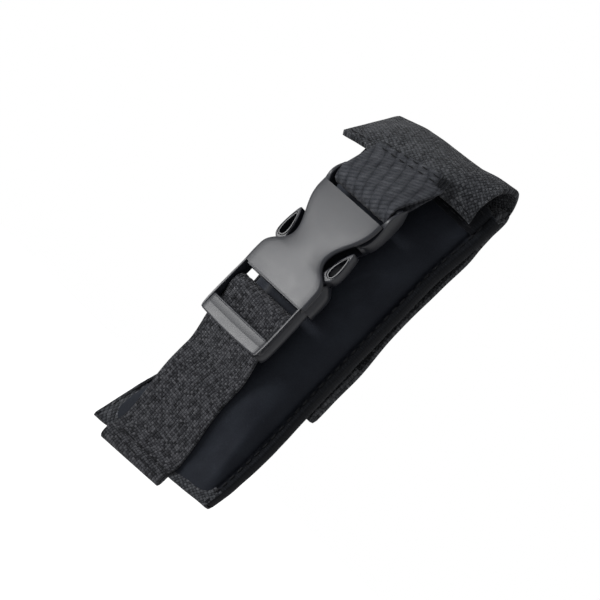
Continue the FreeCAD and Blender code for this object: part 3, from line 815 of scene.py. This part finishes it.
# the buckle
socket = {
    "side": [(14.5, -0.45), (14.5, 4.5), (14.1, 7.8), (12.4, 10.2), (9.8, 12.2), (8.4, 14.2), (8.0, 16.2),
             (8.6, 19.0), (10.1, 22.0), (11.8, 25.0), (13.2, 28.0), (13.9, 31.0), (14.0, 34.5)],
    "crown": 0.4, "bow": 0.75, "frontRound": 1.1, "backRound": 0.8,
    # the side wall: out from the edge of the face, and back from it
    "wall": [(-0.15, 1.5), (-0.9, 2.0), (-1.15, 2.7), (-0.9, 3.3), (0.0, 3.8), (0.3, 4.5), (0.3, 6.8)],
    # the fins that hold the bar: height, inner and outer side, front and back
    "fin": [(89.8, 9.4, 10.6, -23.6, -19.2), (91.4, 9.8, 12.9, -23.6, -18.9),
            (93.4, 10.4, 13.9, -23.7, -18.9), (96.0, 11.2, 14.4, -24.0, -18.9),
            (99.0, 12.3, 14.6, -24.6, -18.9), (101.6, 13.2, 14.6, -25.5, -18.9),
            (103.6, 13.35, 14.6, -25.4, -19.0), (105.6, 13.4, 14.55, -24.5, -19.5),
            (107.4, 13.45, 14.4, -23.2, -20.3), (108.7, 13.6, 14.2, -22.0, -21.2),
            (109.0, 13.75, 14.0, -21.8, -21.5)],
    "finRound": 0.42, "barReach": 14.0, "roomReach": 12.2, "roomTop": 25.0, "roomWall": 1.5,
}


def roundedRing(height, left, right, front, back, frontRound, backRound, wall=(), crown=0.0):
    # a rounded section seen from above: its right side, back, left side and crowned front
    ring = []
    for x, y, radius, start in ((right - frontRound, front + frontRound, frontRound, -90),
                                (right - backRound, back - backRound, backRound, 0),
                                (left + backRound, back - backRound, backRound, 90),
                                (left + frontRound, front + frontRound, frontRound, 180)):
        if start == 0:
            ring += [at(right + out, front + depth, height) for out, depth in wall]
        if start == 180:
            ring += [at(left - out, front + depth, height) for out, depth in wall[::-1]]
        for k in range(5):
            out, depth = circlePoint(radius, start + 22.5 * k)
            ring.append(at(x + out, y + depth, height))
    flat = (right - left) / 2 - frontRound
    for k in range(1, 12):
        x = flat * (k / 6 - 1)
        ring.append(at((left + right) / 2 + x, front - crown * (1 - (x / flat) ** 2), height))
    return ring


rings = []
for point in evenLine([Vector((x, 0, h)) for x, h in socket["side"]], 60):
    bow = socket["bow"] * ((point.z - 18) / 19) ** 2
    front = socketLow.y + socket["crown"] + bow * 0.5
    rings.append(roundedRing(mouthLine + point.z, -point.x, point.x, front, socketHigh.y,
                             socket["frontRound"], socket["backRound"], socket["wall"], socket["crown"]))
buckleSocket = loft("buckleSocket", rings)
for side in (-1, 1):
    rings = []
    for height, inner, outer, finFront, finBack in socket["fin"]:
        left, right = sorted((side * inner, side * outer))
        finRound = min(socket["finRound"], 0.45 * (outer - inner), 0.45 * (finBack - finFront))
        rings.append(roundedRing(height, left, right, finFront, finBack, finRound, finRound))
    combine(buckleSocket, loft("fin", smoothRings(rings, 40)), "UNION")
reach, wall = socket["barReach"], socket["roomWall"]
combine(buckleSocket, crossBar("bar", circleProfile(strap["barHeight"], strap["bar"]), -reach, reach),
        "UNION")
reach = socket["roomReach"]
room = block("room", at(-reach, socketLow.y + wall, mouthLine - 1),
             at(reach, socketHigh.y - wall, mouthLine + socket["roomTop"]))
combine(buckleSocket, room, "DIFFERENCE")
dress(buckleSocket, acetal, "acetal", "socket", "buckle_socket", angle=38)

face, low, top = plugLow.y, plugLow.z, plugHigh.z
plug = {
    "half": plugHigh.x, "inner": 13.2,
    # the rail's section: across from its inner side, and back from its face
    "rail": [(0.0, 0.3), (0.1, 0.05), (0.3, 0.0), (0.7, 0.0), (0.85, 0.15), (0.85, 0.5), (0.5, 1.0),
             (0.35, 1.6), (0.45, 2.2), (1.0, 2.5), (1.3, 2.9), (1.3, 5.2), (1.1, 5.8), (0.4, 6.0),
             (0.0, 5.7)],
    # how far the rail draws in at each height
    "draw": [(-0.35, 1.2), (0.0, 0.8), (0.8, 0.4), (4.0, 0.0), (12.0, 0.1), (17.5, 0.35), (19.7, 0.4)],
    # the end bar: back from its face, and up
    "bar": [(0.9, 5.75), (0.3, 5.7), (0.08, 5.55), (0.0, 5.3), (0.02, 5.1), (0.14, 4.95), (0.13, 4.8),
            (0.12, 4.6), (0.04, 2.6), (0.01, 2.45), (0.0, 2.3), (0.0, 0.0), (0.0, -0.5), (0.06, -0.75),
            (0.3, -0.95), (2.3, -0.6), (2.9, 1.0), (2.9, 4.8), (2.3, 5.6)],
    "barBow": 0.45, "barTop": 5.75, "barMiddle": (1.4, 2.9), "barInset": 0.55,
    "collar": [(0.9, 0.0), (1.0, -0.6), (1.4, -0.8), (5.6, -0.8), (6.0, -0.5), (6.0, 0.0)],
    "tongue": [(1.6, -0.2), (1.6, 1.2), (5.4, 1.2), (5.4, -0.2)],     # it reaches into the socket's mouth
    "tongueReach": 9.9,
}
buckleParts = []
for side in (-1, 1):
    rings = [[at(side * (plug["inner"] + x * (1 - draw * 0.3) - draw * 0.35), face + y, low + h)
              for x, y in plug["rail"]] for h, draw in plug["draw"]]
    buckleParts.append(loft("rail", smoothRings(rings, 24)))
rings = []
midY, midHeight = plug["barMiddle"]
for k in range(25):
    across = k / 12 - 1
    shrink = 1 - 0.3 * ease(0.93, 1.0, abs(across))
    ring = []
    for y, h in plug["bar"]:
        bow = plug["barBow"] * abs(across) ** 2 * (1 - h / plug["barTop"])
        ring.append(at(across * (plug["half"] - plug["barInset"]), face + midY + (y - midY) * shrink,
                       low + midHeight + (h - midHeight) * shrink + bow))
    rings.append(ring)
buckleParts.append(loft("endBar", rings))
sideReach = plug["half"] - 0.7
for word, reach in (("collar", sideReach), ("tongue", plug["tongueReach"])):
    buckleParts.append(crossBar(word, [(face + y, top + h) for y, h in plug[word]], -reach, reach))
rung = circleProfile(lower["rungHeight"], lower["rung"])
buckleParts.append(crossBar("rung", rung, -sideReach, sideReach))
bucklePlug = buckleParts[0]
for part in buckleParts[1:]:
    combine(bucklePlug, part, "UNION")
bucklePlug.name = "bucklePlug"
dress(bucklePlug, acetal, "acetal", "plug", "buckle_plug", angle=38)


def sidePlate(name, points, count, side, ahead, depth):
    # a plate on one side with a smooth outline of (x, height) points, starting ahead of the arms
    y = armFace - ahead
    outline = evenLine([at(side * x, y, h) for x, h in points + points[:1]], count)
    return plate(name, outline[:-1], (0, depth, 0))


# the sprung arms, each with a thin walled loop for its head
arms = {
    "outline": [(7.3, 65.0), (9.9, 65.0), (10.5, 70.0), (11.0, 74.0), (12.4, 75.7), (13.6, 76.8),
                (14.2, 78.8), (14.2, 82.0), (13.9, 85.0), (13.4, 87.6), (12.9, 88.1), (12.0, 86.8),
                (10.9, 84.2), (10.2, 81.6), (9.8, 79.4), (9.0, 76.0), (7.9, 73.0), (7.3, 70.0)],
    "eye": [(12.3, 77.5), (12.9, 78.0), (13.25, 79.5), (13.3, 81.6), (13.1, 83.8), (12.8, 85.2),
            (12.5, 85.4), (11.8, 84.0), (11.1, 81.5), (10.9, 79.5), (11.3, 77.9)],
    "eyeMiddle": (12.15, 81.2), "grooveDepth": 0.8, "depth": 4.0,
    "grooveOutside": (1.62, 1.15), "grooveInside": (1.36, 1.08),      # the eye widened and lengthened
}


def eyeOutline(widen, lengthen):
    x, h = arms["eyeMiddle"]
    return [(x + (px - x) * widen, h + (ph - h) * lengthen) for px, ph in arms["eye"]]


for side, word in sides:
    arm = sidePlate(word + "Arm", arms["outline"], 90, side, 0, arms["depth"])
    modify(arm, "BEVEL", width=0.4 * mm, segments=3, limit_method="ANGLE", angle_limit=math.radians(50))
    groove = sidePlate("groove", eyeOutline(*arms["grooveOutside"]), 48, side, 1, 1 + arms["grooveDepth"])
    rim = sidePlate("rim", eyeOutline(*arms["grooveInside"]), 48, side, 2, 8)
    combine(groove, rim, "DIFFERENCE")
    combine(arm, groove, "DIFFERENCE")
    combine(arm, sidePlate("eye", arms["eye"], 48, side, 1, 8), "DIFFERENCE")
    dress(arm, acetal, "acetal", word + "_arm", word + "_arm", angle=38)
print("buckle made")

# sewing thread: one stitch is modelled and copied along each row
sewing = {
    "half": 0.28, "arch": 0.25, "blunt": 0.8, "long": 1.15,      # the stitch's shape
    "pitch": 3.6, "out": 0.16,
    "flapRows": [(-23.6, -14.4), (14.4, 22.6)], "flapShare": 0.26, "flapPitch": 3.0,
    # the strap's seam over the hem, and the bar tack at its right edge
    "loopRows": [0.14, 0.4], "loopEnd": 10.7, "tack": [10.6, 11.3, 12.0],
    "tackShares": [0.1, 0.24, 0.38, 0.52],
    "boxInset": 3.0, "boxCorner": 2.6,
}
stitchShape = addShape("uv_sphere", "stitch", segments=8, ring_count=7, radius=1)
for v in stitchShape.data.vertices:
    x, y, z = v.co
    v.co = Vector((x * sewing["half"], y * sewing["half"] - sewing["arch"] * z * z,
                   math.copysign(abs(z) ** sewing["blunt"], z) * sewing["long"])) * mm


def sewn(name, body, node, *rows):
    # joined rows of thread, each given by its points and the way its crowns face, with one
    # stitch in the middle of each step
    stitches = []
    for points, outward in rows:
        for before, after in zip(points, points[1:]):
            along = (after - before).normalized()
            side = along.cross(outward).normalized()
            face = side.cross(along)
            stitch = stitchShape.copy()
            stitch.data = stitchShape.data.copy()
            turn = Matrix((side, -face, along)).transposed().to_4x4()
            turn.translation = (before + after) / 2
            stitch.data.transform(turn)
            bpy.context.scene.collection.objects.link(stitch)
            stitches.append(stitch)
    piece = stitches[0]
    pick(piece)
    for stitch in stitches:
        stitch.select_set(True)
    bpy.ops.object.join()
    piece.name = name
    mend(piece, 0.0000001)
    dress(piece, thread, "thread", body, node, angle=80)


def stitchSteps(low, high, pitch=sewing["pitch"]):
    count = max(1, round((high - low) / pitch))
    return [low + (high - low) * i / count for i in range(count + 1)]


def straightRow(start, stop, outward):
    count = max(1, round((stop - start).length / (sewing["pitch"] * mm)))
    return [start.lerp(stop, i / count) for i in range(count + 1)], outward


threadOut = sewing["out"]
toFront, toBack = Vector((0, -1, 0)), Vector((0, 1, 0))
for side, word in sides:
    line = [place(side * (halfWidth - 0.9), clothBase + skin + tapeThick + threadOut, h)
            for h in stitchSteps(4, mouthTop - 4)]
    sewn(word + "SideThread", "pouch", word + "_side_stitching", (line, toFront))
rows = [(evenLine(clothRow(height, band["grow"] + threadOut, False)[3:-3], 16), toFront)
        for height in (mouthTop - 1.6, bandBottom + 1.6)]
sewn("mouthThread", "pouch", "mouth_stitching", *rows)
rows = [([place(a, forward, height) for a in stitchSteps(-22, 22)], way)
        for forward, height, way in ((hemBack - threadOut, 2.2, toBack), (hemFace + threadOut, 4.6, toFront))]
sewn("bottomThread", "pouch", "bottom_stitching", *rows)
rows = [([flapOutside(a, sewing["flapShare"], threadOut)
          for a in stitchSteps(start, stop, sewing["flapPitch"])], toFront)
        for start, stop in sewing["flapRows"]]
sewn("flapThread", "flap", "flap_stitching", *rows)
overStrap, end = strapThick + skin + threadOut, sewing["loopEnd"]
rows = [([flapOutside(a, share, overStrap) for a in stitchSteps(-end, end)], toFront)
        for share in sewing["loopRows"]]
rows += [([flapOutside(across, share, overStrap) for share in sewing["tackShares"]], toFront)
         for across in sewing["tack"]]
sewn("loopThread", "flap", "loop_stitching", *rows)
rows = []
for height, back in ((0.4, 0.3), (-2.4, 0.0)):
    y = anchorY - strapThick / 2 - threadOut + back
    left, right = strapRow(anchorX, y, height, anchor["turn"])
    rows.append(straightRow(left.lerp(right, 0.1), left.lerp(right, 0.9), toFront))
sewn("anchorThread", "pouch", "anchor_stitching", *rows)
y = sewnY + belt["puff"] + webThick / 2 + threadOut
inset, corner = sewing["boxInset"], sewing["boxCorner"]
left, right = inset - belt["half"], belt["half"] - inset
lowRow, topRow = beltTopLow.z + inset, beltTopHigh.z - 4.4
lowBox, topBox = lowRow + corner, topRow - corner
rows = [straightRow(at(x, y, height), at(stopX, y, stopHeight), toBack)
        for x, height, stopX, stopHeight in (
            (left, lowRow, right, lowRow), (left, topRow, right, topRow), (left, lowBox, left, topBox),
            (right, lowBox, right, topBox), (left + corner, lowBox, right - corner, topBox))]
sewn("beltThread", "pouch", "belt_stitching", *rows)
y = tapeY + 2 * fold + webThick / 2 + threadOut
rows = [straightRow(at(hookLow.x + 1.5, y, height), at(hookHigh.x - 1.5, y, height), toBack)
        for height in (hookLow.z + 1.5, hookHigh.z - 1.5)]
sewn("tapeThread", "belt_flap", "tape_stitching", *rows)
bpy.data.objects.remove(stitchShape)
print("thread sewn")

# camera, light, floor and surroundings
scene = bpy.context.scene
scene.view_settings.view_transform = "Standard"
studio = {
    "azimuth": 33.0, "elevation": -2.0, "roll": 46.0,      # degrees, roll about the line of sight
    "distance": 0.9375, "lens": 180.0,
    "aside": (-4.4, 6.8, 0.9),                             # from the middle of the object, millimetres
    # each lamp's azimuth, elevation, distance, size and power
    "mainLamp": (-29.0, -6.0, 0.8, 0.3, 7.0), "fillLamp": (60, 50, 1.2, 0.8, 0.2),
    "ambient": 0.29, "floorBelow": 0.06, "floorGlow": 0.8,
}


def direction(azimuth, elevation):
    a, e = math.radians(azimuth), math.radians(elevation)
    return Vector((math.sin(a) * math.cos(e), -math.cos(a) * math.cos(e), math.sin(e)))


middle = (cadLow + cadHigh) / 2
target = middle + Vector(studio["aside"]) * mm
away = direction(studio["azimuth"], studio["elevation"])
right = Vector((math.cos(math.radians(studio["azimuth"])), math.sin(math.radians(studio["azimuth"])), 0))
up = away.cross(right)
roll = math.radians(studio["roll"])
imageRight = up * math.cos(roll) + right * math.sin(roll)
imageUp = away.cross(imageRight)
cameraData = bpy.data.cameras.new("camera")
cameraData.lens, cameraData.sensor_width = studio["lens"], 36.0
camera = bpy.data.objects.new("camera", cameraData)
turn = Matrix((imageRight, imageUp, away)).transposed().to_4x4()
turn.translation = target + away * studio["distance"]
camera.matrix_world = turn
scene.collection.objects.link(camera)
scene.camera = camera


def softbox(name, azimuth, elevation, distance, size, power):
    data = bpy.data.lights.new(name, "AREA")
    data.shape, data.size, data.energy = "SQUARE", size, power
    lamp = bpy.data.objects.new(name, data)
    way = direction(azimuth, elevation)
    lamp.location = middle + way * distance
    lamp.rotation_mode = "QUATERNION"
    lamp.rotation_quaternion = way.to_track_quat("Z", "Y")
    lamp.visible_camera = False
    scene.collection.objects.link(lamp)


def lookingRays(add):
    # 1 for rays that look at the surroundings, straight or through the object's gloss
    path = add("LightPath")
    seen = path.outputs["Is Camera Ray"]
    for ray in ("Is Glossy Ray", "Is Transmission Ray"):
        seen = add("Math MAXIMUM", in0=seen, in1=path.outputs[ray])
    return seen


softbox("mainLamp", *studio["mainLamp"])
softbox("fillLamp", *studio["fillLamp"])

world = bpy.data.worlds.new("studio")
world.use_nodes = True
scene.world = world
add = partial(addNode, world.node_tree)
strength = add("MapRange", Value=lookingRays(add), in3=studio["ambient"], in4=1.0)
setInputs(world.node_tree.nodes["Background"], Strength=strength, Color=(1, 1, 1, 1))

floor = addShape("plane", "floor", size=8)
for v in floor.data.vertices:
    v.co.z = cadLow.z - studio["floorBelow"]
# flat white paint, no glare
paint, add, shader = newMaterial("matteFloorPaint", Roughness=0.9, Base_Color=colour("e4e4e4"))
shine = add("Math MULTIPLY", in0=lookingRays(add), in1=studio["floorGlow"])
glow = add("Emission", Strength=shine)
both = add("AddShader", in0=shader, in1=glow)
setInputs(paint.node_tree.nodes["Material Output"], Surface=both)
floor.data.materials.append(paint)
print("studio made")
